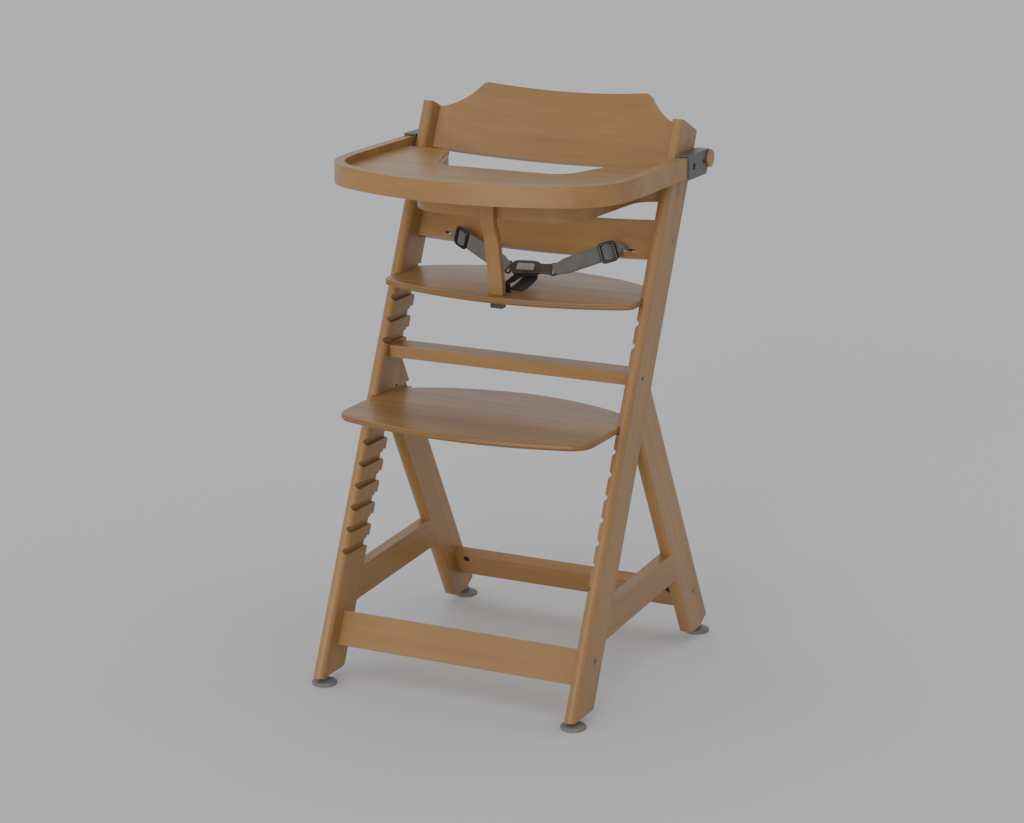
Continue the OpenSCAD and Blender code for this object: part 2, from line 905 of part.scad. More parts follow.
module slider(stations) {
    middle = (stations[2][0] + stations[3][0]) / 2;
    placed() along(middle, stations[3][0], stations[2][1]) difference() {
        translate([-slider_len / 2, -slider_t / 2, -slider_w / 2])
            cube([slider_len, slider_t, slider_w]);
        translate([-slider_len, -strap_t / 2 - 0.6, -strap_w / 2 - 0.8])
            cube([2 * slider_len, strap_t + 1.2, strap_w + 1.6]);
    }
}

module buckle_frame() {
    placed() translate(buckle_at) rotate(buckle_turn) children();
}

module buckle_body() {
    color("saddlebrown") buckle_frame() difference() {
        translate([-buckle_len / 2, -buckle_w / 2, -buckle_t / 2])
            cube([buckle_len, buckle_w, buckle_t]);
        for (s = [-1, 1]) translate([s * buckle_len / 2, 0, 0])
            cube([2 * tongue_in + 1, tongue_w + 0.8, tongue_t + 0.8], center = true);
        translate([-button_len / 2 - 0.3, -button_w / 2 - 0.3, button_floor])
            cube([button_len + 0.6, button_w + 0.6, buckle_t]);
    }
}

// flat tongue in the buckle, with a slotted end that carries the strap
module tongue(side, reach) {
    buckle_frame() on_side(side) translate([buckle_len / 2 - tongue_in, 0, 0]) difference() {
        translate([0, -tongue_w / 2, -tongue_t / 2]) cube([tongue_in + reach, tongue_w, tongue_t]);
        translate([tongue_in + reach - 5, -tongue_w / 2 + 2.5, -tongue_t])
            cube([2.5, tongue_w - 5, 2 * tongue_t]);
    }
}

module buckle_button() {
    color("lightgray") buckle_frame()
        translate([-button_len / 2, -button_w / 2, button_floor + button_travel + 0.1])
            cube([button_len, button_w, buckle_t / 2 - button_floor - button_travel + 0.2]);
}

module strap_stops() {
    color("dimgray") placed() {
        for (stations = [left_stations, right_stations])
            translate(stations[0][0] + [-strap_w / 2 - 3, stop_r + 1, -stop_r])
                rotate([0, 90, 0]) cylinder(h = strap_w + 6, r = stop_r);
        translate(crotch_stations[0][0] + [-strap_w / 2 - 3, 0, -stop_r - 1])
            rotate([0, 90, 0]) cylinder(h = strap_w + 6, r = stop_r);
    }
}

// ---- nodes ---------------------------------------------------------------------------

module left_post() { color("tan") post(-1); }
module right_post() { color("tan") post(1); }
module left_rear_leg() { color("tan") rear_leg(-1); }
module right_rear_leg() { color("tan") rear_leg(1); }
module left_strut() { color("tan") strut(-1); }
module right_strut() { color("tan") strut(1); }
module left_tray_bracket() { color("slategray") tray_bracket(-1); }
module right_tray_bracket() { color("slategray") tray_bracket(1); }
module left_tray_peg() { color("tan") tray_peg(-1); }
module right_tray_peg() { color("tan") tray_peg(1); }
module left_peg_cap() { color("tan") tray_peg_cap(-1); }
module right_peg_cap() { color("tan") tray_peg_cap(1); }
module front_left_pad() { color("gainsboro") pad(-1, 0); }
module front_right_pad() { color("gainsboro") pad(1, 0); }
module rear_left_pad() { color("gainsboro") pad(-1, rear_pad_y); }
module rear_right_pad() { color("gainsboro") pad(1, rear_pad_y); }
module front_left_stem() { color("silver") stem(-1, 0); }
module front_right_stem() { color("silver") stem(1, 0); }
module rear_left_stem() { color("silver") stem(-1, rear_pad_y); }
module rear_right_stem() { color("silver") stem(1, rear_pad_y); }
module left_strap() { color("gray") lap_strap(left_stations); }
module right_strap() { color("gray") lap_strap(right_stations); }
module crotch_strap() { color("darkolivegreen") lap_strap(crotch_stations); }
module left_slider() { color("dimgray") slider(left_stations); }
module right_slider() { color("dimgray") slider(right_stations); }
module left_tongue() { color("saddlebrown") tongue(-1, left_reach); }
module right_tongue() { color("saddlebrown") tongue(1, right_reach); }

left_post();
right_post();
left_rear_leg();
right_rear_leg();
left_strut();
right_strut();
front_rung();
rear_rung();
mid_rung();
lower_back_rail();
backrest_board();
seat_panel();
footrest_panel();
belly_bar();
crotch_post();
crotch_bolt();
crotch_cap();
tray_panel();
tray_rim();
left_tray_bracket();
right_tray_bracket();
left_tray_peg();
right_tray_peg();
left_peg_cap();
right_peg_cap();
tray_screws();
frame_bolts();
board_screws();
barrel_nuts();
front_left_pad();
front_right_pad();
rear_left_pad();
rear_right_pad();
front_left_stem();
front_right_stem();
rear_left_stem();
rear_right_stem();
left_strap();
right_strap();
crotch_strap();
left_slider();
right_slider();
strap_stops();
buckle_body();
buckle_button();
left_tongue();
right_tongue();
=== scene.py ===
import json
import math

import bmesh
import bpy
import numpy as np
from mathutils import Matrix, Vector


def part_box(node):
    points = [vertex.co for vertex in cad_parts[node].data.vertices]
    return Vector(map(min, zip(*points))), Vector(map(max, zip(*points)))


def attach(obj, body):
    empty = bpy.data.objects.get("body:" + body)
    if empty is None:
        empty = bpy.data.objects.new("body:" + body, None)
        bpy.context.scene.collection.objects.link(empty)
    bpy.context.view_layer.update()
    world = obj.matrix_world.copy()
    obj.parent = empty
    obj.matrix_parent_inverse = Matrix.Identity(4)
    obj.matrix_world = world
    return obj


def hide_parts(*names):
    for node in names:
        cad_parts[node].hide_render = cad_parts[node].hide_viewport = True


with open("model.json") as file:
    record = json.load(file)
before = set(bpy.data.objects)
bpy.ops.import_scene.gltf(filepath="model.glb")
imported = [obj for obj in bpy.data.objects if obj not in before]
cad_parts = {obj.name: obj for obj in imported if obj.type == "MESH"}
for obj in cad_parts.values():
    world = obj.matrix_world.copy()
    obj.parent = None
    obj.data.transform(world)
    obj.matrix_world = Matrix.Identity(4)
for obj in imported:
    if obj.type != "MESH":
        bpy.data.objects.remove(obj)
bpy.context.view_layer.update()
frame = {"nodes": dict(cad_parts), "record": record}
MM = 0.001

# ---- camera, light and floor -----------------------------------------------------------

CAMERA_AZIMUTH = math.radians(26.215)
CAMERA_ELEVATION = math.radians(15.021)
CAMERA_DISTANCE = 3.7419
CAMERA_AIM = Vector((0.0180, -0.04755, 0.37231))
CAMERA_LENS = 96.69
SENSOR_WIDTH = 36.0
WORLD_COLOUR = (0.93, 0.94, 0.96, 1)
WORLD_STRENGTH = 0.78
FLOOR_HALF = 24.0
FLOOR_COLOUR = (0.68, 0.68, 0.69, 1)
# a broad, low, frontal key light: where it comes from, its strength and its spread in degrees
KEY_FROM = (0.04, -1.0, 0.10)
KEY_STRENGTH = 1.85
KEY_SPREAD = 40
KEY_COLOUR = (1.0, 0.985, 0.96)


def make_camera():
    back = Vector(
        (
            math.sin(CAMERA_AZIMUTH) * math.cos(CAMERA_ELEVATION),
            -math.cos(CAMERA_AZIMUTH) * math.cos(CAMERA_ELEVATION),
            math.sin(CAMERA_ELEVATION),
        )
    )
    data = bpy.data.cameras.new("camera")
    data.lens = CAMERA_LENS
    data.sensor_width = SENSOR_WIDTH
    data.clip_start = 0.1
    data.clip_end = 60.0
    camera = bpy.data.objects.new("camera", data)
    bpy.context.scene.collection.objects.link(camera)
    camera.location = CAMERA_AIM + back * CAMERA_DISTANCE
    camera.rotation_mode = "QUATERNION"
    camera.rotation_quaternion = (-back).to_track_quat("-Z", "Y")
    bpy.context.scene.camera = camera


def sun_light(name, way, strength, spread, colour):
    """Even light over the whole floor, softened by a wide disc."""
    data = bpy.data.lights.new(name, "SUN")
    data.energy = strength
    data.angle = math.radians(spread)
    data.color = colour
    light = bpy.data.objects.new(name, data)
    bpy.context.scene.collection.objects.link(light)
    light.rotation_mode = "QUATERNION"
    light.rotation_quaternion = (-Vector(way)).to_track_quat("-Z", "Y")


def make_world(strength):
    world = bpy.data.worlds.new("studio")
    bpy.context.scene.world = world
    world.use_nodes = True
    background = world.node_tree.nodes["Background"]
    background.inputs["Color"].default_value = WORLD_COLOUR
    background.inputs["Strength"].default_value = strength


def make_floor():
    half = FLOOR_HALF
    mesh = bpy.data.meshes.new("floor")
    mesh.from_pydata(
        [(-half, -half, 0), (half, -half, 0), (half, half, 0), (-half, half, 0)],
        [],
        [(0, 1, 2, 3)],
    )
    floor = bpy.data.objects.new("floor", mesh)
    bpy.context.scene.collection.objects.link(floor)
    material = bpy.data.materials.new("floor_paint")
    material.use_nodes = True
    shader = material.node_tree.nodes["Principled BSDF"]
    shader.inputs["Base Color"].default_value = FLOOR_COLOUR
    shader.inputs["Roughness"].default_value = 0.9
    mesh.materials.append(material)


# ---- node helpers ----------------------------------------------------------------------


class Nodes:
    """Short hand for building one material's node tree."""

    def __init__(self, name):
        self.material = bpy.data.materials.new(name)
        self.material.use_nodes = True
        self.tree = self.material.node_tree
        self.shader = self.tree.nodes["Principled BSDF"]

    def new(self, kind, **values):
        node = self.tree.nodes.new(kind)
        for key, value in values.items():
            setattr(node, key, value)
        return node

    def link(self, source, target):
        self.tree.links.new(source, target)

    def attribute(self, name):
        return self.new("ShaderNodeAttribute", attribute_name=name).outputs["Vector"]

    def object_place(self):
        return self.new("ShaderNodeTexCoord").outputs["Object"]

    def scaled(self, vector, scale):
        node = self.new("ShaderNodeMapping")
        node.inputs["Scale"].default_value = scale
        self.link(vector, node.inputs["Vector"])
        return node.outputs["Vector"]

    def noise(self, vector, scale, detail=2.0, roughness=0.5, distortion=0.0):
        node = self.new("ShaderNodeTexNoise")
        node.inputs["Scale"].default_value = scale
        node.inputs["Detail"].default_value = detail
        node.inputs["Roughness"].default_value = roughness
        node.inputs["Distortion"].default_value = distortion
        self.link(vector, node.inputs["Vector"])
        return node.outputs["Fac"]

    def ramp(self, value, stops):
        node = self.new("ShaderNodeValToRGB")
        ramp = node.color_ramp
        while len(ramp.elements) < len(stops):
            ramp.elements.new(0.5)
        for element, (place, colour) in zip(ramp.elements, stops):
            element.position = place
            element.color = (*colour, 1) if len(colour) == 3 else colour
        self.link(value, node.inputs["Fac"])
        return node.outputs["Color"]

    def mix(self, a, b, factor, blend="MIX"):
        node = self.new("ShaderNodeMix", data_type="RGBA", blend_type=blend)
        for socket, value in ((node.inputs[6], a), (node.inputs[7], b), (node.inputs[0], factor)):
            if isinstance(value, (int, float)):
                socket.default_value = value
            elif isinstance(value, tuple):
                socket.default_value = (*value, 1)
            else:
                self.link(value, socket)
        return node.outputs[2]

    def maths(self, operation, a, b=0.0):
        node = self.new("ShaderNodeMath", operation=operation)
        for socket, value in zip(node.inputs, (a, b)):
            if isinstance(value, (int, float)):
                socket.default_value = value
            else:
                self.link(value, socket)
        return node.outputs[0]

    def bump(self, height, strength, distance):
        node = self.new("ShaderNodeBump")
        node.inputs["Strength"].default_value = strength
        node.inputs["Distance"].default_value = distance
        self.link(height, node.inputs["Height"])
        self.link(node.outputs["Normal"], self.shader.inputs["Normal"])

    def set(self, **values):
        for key, value in values.items():
            self.shader.inputs[key.replace("_", " ")].default_value = value


def grey(value):
    return (value, value, value)


# ---- materials -------------------------------------------------------------------------


def glue_lines(n, body, layers, line, band):
    """Darkens every other ply and the glue between plies; nothing on the two outer faces."""
    layer = n.new("ShaderNodeAttribute", attribute_name="layer").outputs["Fac"]
    count = n.maths("MULTIPLY", layer, float(layers))
    above = n.maths("GREATER_THAN", count, 0.5)
    inside = n.maths("MULTIPLY", above, n.maths("LESS_THAN", count, layers - 0.5))
    parity = n.maths("MODULO", n.maths("FLOOR", count), 2.0)
    shade = n.maths("MULTIPLY", n.maths("MULTIPLY", parity, inside), 0.5)
    body = n.mix(body, band, shade)
    centred = n.maths("FRACT", n.maths("ADD", count, 0.5))
    away = n.maths("ABSOLUTE", n.maths("SUBTRACT", centred, 0.5))
    glue = n.ramp(away, [(0.10, grey(1.0)), (0.20, grey(0.0))])
    return n.mix(body, line, n.maths("MULTIPLY", n.maths("MULTIPLY", glue, inside), 0.92))


def wood(name, light, dark, fleck, rough=0.36, figure=1.0, layers=0):
    """Lacquered beech. The grain attribute holds metres along, across and through the piece."""
    n = Nodes(name)
    grain = n.attribute("grain")
    # broad figure: slow bands that run with the grain
    bands = n.noise(n.scaled(grain, (1.6, 26.0, 26.0)), 1.0, 3.0, 0.55, 0.6)
    body = n.ramp(bands, [(0.30, dark), (0.52, light), (0.75, tuple(c * 1.06 for c in light))])
    # growth lines, finer and sharper
    lines = n.noise(n.scaled(grain, (3.5, 150.0, 150.0)), 1.0, 2.0, 0.6, 0.3)
    line_mask = n.ramp(lines, [(0.35, grey(0.0)), (0.62, grey(1.0))])
    body = n.mix(body, tuple(c * 0.86 for c in dark), n.maths("MULTIPLY", line_mask, 0.22 * figure))
    # short dark rays, the mark of beech
    cells = n.new("ShaderNodeTexVoronoi", feature="F1")
    cells.inputs["Scale"].default_value = 1.0
    n.link(n.scaled(grain, (380.0, 2100.0, 2100.0)), cells.inputs["Vector"])
    rays = n.ramp(cells.outputs["Distance"], [(0.06, grey(1.0)), (0.26, grey(0.0))])
    body = n.mix(body, fleck, n.maths("MULTIPLY", rays, 0.5))
    # slow drift of tone over the whole piece
    drift = n.noise(n.scaled(grain, (4.0, 7.0, 7.0)), 1.0, 1.0)
    tone = n.ramp(drift, [(0.3, grey(0.90)), (0.7, grey(1.05))])
    body = n.mix(body, tone, 1.0, "MULTIPLY")
    if layers:
        body = glue_lines(n, body, layers, tuple(c * 0.30 for c in dark), fleck)
    n.link(body, n.shader.inputs["Base Color"])
    gloss = n.ramp(lines, [(0.3, grey(rough - 0.04)), (0.7, grey(rough + 0.06))])
    n.link(gloss, n.shader.inputs["Roughness"])
    n.set(Coat_Weight=0.12, Coat_Roughness=0.25, Specular_IOR_Level=0.42)
    height = n.maths("ADD", n.maths("MULTIPLY", lines, 0.7), n.maths("MULTIPLY", rays, -0.5))
    n.bump(height, 0.10, 0.0003)
    return n.material


def webbing(name, colour, dark, sheen=0.3):
    """Woven strap: raised cross ribs, warp columns and a plain edge. weave holds metres along
    and across the strap."""
    n = Nodes(name)
    weave = n.attribute("weave")
    split = n.new("ShaderNodeSeparateXYZ")
    n.link(weave, split.inputs[0])
    along, across = split.outputs[0], split.outputs[1]
    ribs = n.maths("SINE", n.maths("MULTIPLY", along, 2 * math.pi / 0.0012))
    columns = n.maths("SINE", n.maths("MULTIPLY", across, 2 * math.pi / 0.0019))
    cloth = n.maths("MULTIPLY", n.maths("ADD", n.maths("MULTIPLY", ribs, columns), 1.0), 0.5)
    edge = n.ramp(n.maths("ABSOLUTE", across), [(0.0092, grey(0.0)), (0.0099, grey(1.0))])
    fuzz = n.noise(n.scaled(weave, (2600.0, 2600.0, 2600.0)), 1.0, 2.0)
    wear = n.noise(n.scaled(weave, (55.0, 55.0, 55.0)), 1.0, 2.0)
    body = n.mix(dark, colour, cloth)
    body = n.mix(body, dark, n.maths("MULTIPLY", edge, 0.6))
    body = n.mix(body, n.ramp(fuzz, [(0.3, grey(0.82)), (0.7, grey(1.12))]), 1.0, "MULTIPLY")
    body = n.mix(body, n.ramp(wear, [(0.3, grey(0.88)), (0.7, grey(1.10))]), 1.0, "MULTIPLY")
    n.link(body, n.shader.inputs["Base Color"])
    n.set(Roughness=0.8, Sheen_Weight=sheen, Sheen_Roughness=0.5, Specular_IOR_Level=0.3)
    ribbed = n.maths("MULTIPLY", cloth, 0.8)
    n.bump(n.maths("ADD", ribbed, n.maths("MULTIPLY", fuzz, 0.2)), 0.6, 0.0004)
    return n.material


def speckled(name, colour, rough, metallic=0.0, grain_size=0.0006, contrast=0.12, depth=0.0001):
    """Moulded plastic or coated metal: faint mottling, fine surface grain, soft wear."""
    n = Nodes(name)
    place = n.object_place()
    fine = n.noise(place, 1.0 / grain_size, 2.0, 0.6)
    broad = n.noise(place, 60.0, 3.0, 0.55)
    tone = n.ramp(broad, [(0.3, grey(1.0 - contrast)), (0.7, grey(1.0 + contrast))])
    n.link(n.mix(colour, tone, 1.0, "MULTIPLY"), n.shader.inputs["Base Color"])
    gloss = n.ramp(broad, [(0.3, grey(max(rough - 0.07, 0.05))), (0.7, grey(rough + 0.08))])
    n.link(gloss, n.shader.inputs["Roughness"])
    n.set(Metallic=metallic)
    n.bump(fine, 0.25, depth)
    return n.material


LIGHT_BEECH = (0.335, 0.180, 0.063)
DARK_BEECH = (0.28, 0.142, 0.047)
RAY_BEECH = (0.19, 0.085, 0.024)


def make_materials():
    made = {
        "beech": wood("beech", LIGHT_BEECH, DARK_BEECH, RAY_BEECH),
        "panel_ply": wood("panel_ply", LIGHT_BEECH, DARK_BEECH, RAY_BEECH, 0.34, 1.3, 5),
        "bent_ply": wood("bent_ply", LIGHT_BEECH, DARK_BEECH, RAY_BEECH, 0.34, 1.2, 7),
        "bracket_steel": speckled("bracket_steel", (0.105, 0.108, 0.104), 0.40, 0.35),
        "zinc_steel": speckled("zinc_steel", (0.24, 0.235, 0.22), 0.38, 0.85, 0.0004),
        "dark_steel": speckled("dark_steel", (0.03, 0.028, 0.027), 0.45, 0.4, 0.0004),
        "pad_plastic": speckled("pad_plastic", (0.16, 0.155, 0.14), 0.55),
        "grey_plastic": speckled("grey_plastic", (0.012, 0.012, 0.012), 0.38),
        "brown_plastic": speckled("brown_plastic", (0.06, 0.042, 0.032), 0.40),
        "button_plastic": speckled("button_plastic", (0.30, 0.27, 0.25), 0.5),
        "grey_webbing": webbing("grey_webbing", (0.19, 0.185, 0.18), (0.10, 0.098, 0.096)),
        "olive_webbing": webbing(
            "olive_webbing", (0.026, 0.023, 0.014), (0.013, 0.012, 0.009), sheen=0.1
        ),
    }
    return made


# ---- grain directions ------------------------------------------------------------------

LEAN = math.radians(24.13)
REAR_TILT = math.radians(29.03)
AXIS_X = Vector((1, 0, 0))
AXIS_Z = Vector((0, 0, 1))
POST_WAY = Vector((0, math.sin(LEAN), math.cos(LEAN)))
LEG_WAY = Vector((0, -math.sin(REAR_TILT), math.cos(REAR_TILT)))


def store_grain(mesh, along, across, shift=0.0):
    """Writes metres along, across and through the piece on every vertex."""
    through = along.cross(across).normalized()
    axes = np.array([along, across, through], float)
    co = np.empty(len(mesh.vertices) * 3)
    mesh.vertices.foreach_get("co", co)
    values = co.reshape(-1, 3) @ axes.T + shift
    attribute = mesh.attributes.new("grain", "FLOAT_VECTOR", "POINT")
    attribute.data.foreach_set("vector", values.astype(np.float32).ravel())


def finish_edges(piece, width, segments=2, angle=30):
    """Rounded edges and clean shading on a carried-over CAD node."""
    weld = piece.modifiers.new("weld", "WELD")
    weld.merge_threshold = 0.00001
    flat = piece.modifiers.new("flat", "DECIMATE")
    flat.decimate_type = "DISSOLVE"
    flat.angle_limit = math.radians(0.6)
    bevel = piece.modifiers.new("bevel", "BEVEL")
    bevel.width = width
    bevel.segments = segments
    bevel.limit_method = "ANGLE"
    bevel.angle_limit = math.radians(angle)
    bevel.use_clamp_overlap = True
    shade = piece.modifiers.new("shade", "WEIGHTED_NORMAL")
    shade.keep_sharp = True
    for polygon in piece.data.polygons:
        polygon.use_smooth = True


FOOT_JOINT = next(
    j for j in frame["record"]["behaviour"]["joints"] if j["name"] == "front_left_foot_turn"
)
# the CAD lays the chair out from the middle of its front pads
FRONT_Y = FOOT_JOINT["pos_m"][1]
FRONT_Z = 0.0
POST_Y = -16.5
INNER_HALF = 181.5
BENT_T = 12

SLOT_OF = {row["node"]: row["material_slot"] for row in frame["record"]["subparts"]}
WOODEN = {"beech", "panel_ply", "bent_ply"}
WOOD_ROUND = 0.0012
OTHER_ROUND = 0.0004
# grain differs from node to node by this step
GRAIN_STEP = 0.37
# nodes that look different from the slot they are listed under
SEEN_AS = {"barrel_nuts": "dark_steel", "crotch_cap": "brown_plastic"}
# rounding of the edges of the wooden nodes, in metres
EDGE_ROUND = {
    "seat_panel": 0.0034,
    "footrest_panel": 0.0034,
    "tray_panel": 0.0025,
    "tray_rim": 0.0022,
    "backrest_board": 0.0014,
    "lower_back_rail": 0.0014,
    "belly_bar": 0.0014,
    "crotch_post": 0.0020,
    "front_rung": 0.0022,
    "rear_rung": 0.0022,
    "mid_rung": 0.0026,
    "left_post": 0.0016,
    "right_post": 0.0016,
}


def grain_way(node):
    if node.endswith("_post") and not node.startswith("crotch"):
        return POST_WAY
    if node.endswith("_rear_leg"):
        return LEG_WAY
    if node.endswith("_strut"):
        return Vector((0, 1, 0))
    if node == "crotch_post":
        return AXIS_Z
    return AXIS_X


def mesh_points(mesh):
    co = np.empty(len(mesh.vertices) * 3)
    mesh.vertices.foreach_get("co", co)
    return co.reshape(-1, 3)


def store_number(mesh, name, values):
    attribute = mesh.attributes.new(name, "FLOAT", "POINT")
    attribute.data.foreach_set("value", values.astype(np.float32))


def flat_layers(node, mesh):
    """0 on the underside of a flat panel, 1 on its top."""
    low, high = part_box(node)
    return (mesh_points(mesh)[:, 2] - low[2]) / (high[2] - low[2])


def lean_depth(points):
    """Distance of each point (mm, from the middle of the front pads) behind the lean line."""
    y = (points[:, 1] - FRONT_Y) / MM - POST_Y
    return y * math.cos(LEAN) - points[:, 2] / MM * math.sin(LEAN)


def bowed_layers(mesh, end_depth, sag):
    """0 on the hollow face of a bowed board, 1 on its back."""
    points = mesh_points(mesh)
    bow = (INNER_HALF**2 + sag**2) / (2 * sag)
    behind = lean_depth(points) - (end_depth + sag - bow)
    return (np.hypot(points[:, 0] / MM, behind) - bow) / BENT_T


# how far behind the lean line a bowed board's ends lie, and how deep its bow is, in mm
BOWED = {"backrest_board": (18, 30), "lower_back_rail": (26, 27)}


def dress_nodes(materials):
    for index, (name, piece) in enumerate(sorted(frame["nodes"].items())):
        slot = SEEN_AS.get(name, SLOT_OF[name])
        piece.data.materials.clear()
        piece.data.materials.append(materials[slot])
        if slot in WOODEN:
            way = grain_way(name)
            across = AXIS_X if abs(way.x) < 0.5 else POST_WAY
            store_grain(piece.data, way, across, index * GRAIN_STEP)
            if slot == "panel_ply":
                store_number(piece.data, "layer", flat_layers(name, piece.data))
            elif name in BOWED:
                store_number(piece.data, "layer", bowed_layers(piece.data, *BOWED[name]))
            finish_edges(piece, EDGE_ROUND.get(name, WOOD_ROUND), 3)
        else:
            finish_edges(piece, OTHER_ROUND)


# ---- mesh building ---------------------------------------------------------------------


def from_cad(x, y, z):
    """A place in the CAD's own millimetres, in the frame's metres."""
    return Vector((x * MM, y * MM + FRONT_Y, z * MM + FRONT_Z))


class Shell:
    """Collects rings of points into closed, quad-meshed solids."""

    def __init__(self):
        self.points = []
        self.faces = []
        self.fields = []

    def ring(self, points, fields=None):
        start = len(self.points)
        self.points += [tuple(p) for p in points]
        self.fields += fields if fields is not None else [(0.0, 0.0, 0.0)] * len(points)
        return list(range(start, start + len(points)))

    def bridge(self, a, b):
        for i in range(len(a)):
            j = (i + 1) % len(a)
            self.faces.append((a[i], a[j], b[j], b[i]))

    def cap(self, ring, flip=False):
        self.faces.append(tuple(reversed(ring)) if flip else tuple(ring))

    def fan(self, ring, centre, flip=False):
        tip = self.ring([centre])[0]
        for i in range(len(ring)):
            j = (i + 1) % len(ring)
            self.faces.append((ring[j], ring[i], tip) if flip else (ring[i], ring[j], tip))

    def loft(self, rings, fields=None, looped=False):
        rows = [
            self.ring(points, fields[i] if fields is not None else None)
            for i, points in enumerate(rings)
        ]
        for a, b in zip(rows, rows[1:]):
            self.bridge(a, b)
        if looped:
            self.bridge(rows[-1], rows[0])
        else:
            self.cap(rows[0], True)
            self.cap(rows[-1])

    def make(self, name, slot, body, field=None, crease=40):
        mesh = bpy.data.meshes.new(name)
        mesh.from_pydata(self.points, [], self.faces)
        mesh.validate()
        if field:
            attribute = mesh.attributes.new(field, "FLOAT_VECTOR", "POINT")
            flat = np.array(self.fields, np.float32).ravel()
            attribute.data.foreach_set("vector", flat)
        bm = bmesh.new()
        bm.from_mesh(mesh)
        bmesh.ops.recalc_face_normals(bm, faces=bm.faces)
        for edge in bm.edges:
            edge.smooth = not (
                edge.is_manifold and edge.calc_face_angle(0.0) > math.radians(crease)
            )
        for face in bm.faces:
            face.smooth = True
        bm.to_mesh(mesh)
        bm.free()
        piece = bpy.data.objects.new(name, mesh)
        bpy.context.scene.collection.objects.link(piece)
        mesh.materials.append(materials[slot])
        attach(piece, body)
        return piece


def smooth_line(points, steps):
    """Catmull-Rom curve through the points."""
    pts = [Vector(p) for p in points]
    pts = [2 * pts[0] - pts[1]] + pts + [2 * pts[-1] - pts[-2]]
    line = []
    for i in range(1, len(pts) - 2):
        for k in range(steps):
            t = k / steps
            a, b, c, d = pts[i - 1 : i + 3]
            line.append(
                0.5
                * (
                    2 * b
                    + (c - a) * t
                    + (2 * a - 5 * b + 4 * c - d) * t * t
                    + (3 * b - a - 3 * c + d) * t * t * t
                )
            )
    line.append(pts[-2])
    return line


# ---- webbing ---------------------------------------------------------------------------

STRAP_W = 0.023
STRAP_T = 0.0015
CROTCH_W = 0.0225
# a lap strap stays gathered over its first length, then spreads to its full width; the
# tongue's loop gathers it again
GATHERED_TO = 0.022
SPREAD_AFTER_SLOT = 0.012
SPREAD_AFTER_LOOP = 0.016
SHARE_AT_SLOT = 0.34
SHARE_AT_LOOP = 0.66
# a strap's outer side and a slider's face look roughly this way
FACING = Vector((0.4, -0.9, 0.3))
# a slider's frame: half along the strap, half across it, corner, bar width and thickness
SLIDER_FRAME = (0.0100, 0.0122, 0.0034, 0.0046, 0.0046)
SLIDER_BAR_HALF = 0.0126
SLIDER_BAR_SECTION = (0.0032, 0.0020)


def strap_outline(width, thick):
    """(across, through) points round the strap's section, thinner at the woven edges."""
    count = 11
    top = []
    for k in range(count):
        s = -math.cos(math.pi * k / (count - 1))
        half = thick / 2 * math.sqrt(max(0.06, 1 - abs(s) ** 8))
        top.append((s * width / 2, half))
    return top + [(x, -h) for x, h in reversed(top)]


def strap_frames(line, widths):
    """Point, width direction and normal at each step of a strap's middle line."""
    frames = []
    for i, point in enumerate(line):
        ahead = line[min(i + 1, len(line) - 1)] - line[max(i - 1, 0)]
        ahead.normalize()
        across = widths[i] - ahead * widths[i].dot(ahead)
        across.normalize()
        frames.append((point, across, ahead.cross(across)))
    return frames


def ribbon(shell, frames, widths, thick=STRAP_T):
    """Closed band along the frames; widths is one number per frame."""
    run = 0.0
    rings, fields = [], []
    for i, (point, across, normal) in enumerate(frames):
        if i:
            run += (point - frames[i - 1][0]).length
        outline = strap_outline(widths[i], thick)
        rings.append([point + across * a + normal * t for a, t in outline])
        fields.append([(run, a, t) for a, t in outline])
    shell.loft(rings, fields)
    return run


def stitch_rows(shell, frames, rows, pitch=0.0026, width=0.0009, lift=0.00075):
    """Raised threads along rows (across offset) on the front of a strap."""
    travelled = [0.0]
    for a, b in zip(frames, frames[1:]):
        travelled.append(travelled[-1] + (b[0] - a[0]).length)
    count = int(travelled[-1] / pitch)
    for offset in rows:
        for k in range(count):
            here = (k + 0.5) * pitch
            i = max(1, next(j for j, d in enumerate(travelled) if d >= here))
            share = (here - travelled[i - 1]) / (travelled[i] - travelled[i - 1])
            point = frames[i - 1][0].lerp(frames[i][0], share)
            ahead = (frames[i][0] - frames[i - 1][0]).normalized()
            across, normal = frames[i][1], frames[i][2]
            middle = point + across * offset + normal * lift
            rings = []
            for step in range(-2, 3):
                swell = math.sqrt(1 - (step / 2.3) ** 2)
                centre = middle + ahead * step * pitch * 0.19
                rings.append(
                    [
                        centre
                        + (across * math.cos(a) + normal * math.sin(a)) * width / 2 * swell
                        for a in (math.tau * q / 6 for q in range(6))
                    ]
                )
            shell.loft(rings, [[(here, offset, 0.0)] * 6] * 5)


def slider_wave(distance):
    """How far the strap stands off its middle line beside a slider's three bars."""
    hump = 0.0024 * math.exp(-((distance / 0.0056) ** 4))
    dip = 0.0011 * math.exp(-(((abs(distance) - 0.0112) / 0.0026) ** 2))
    return hump - dip


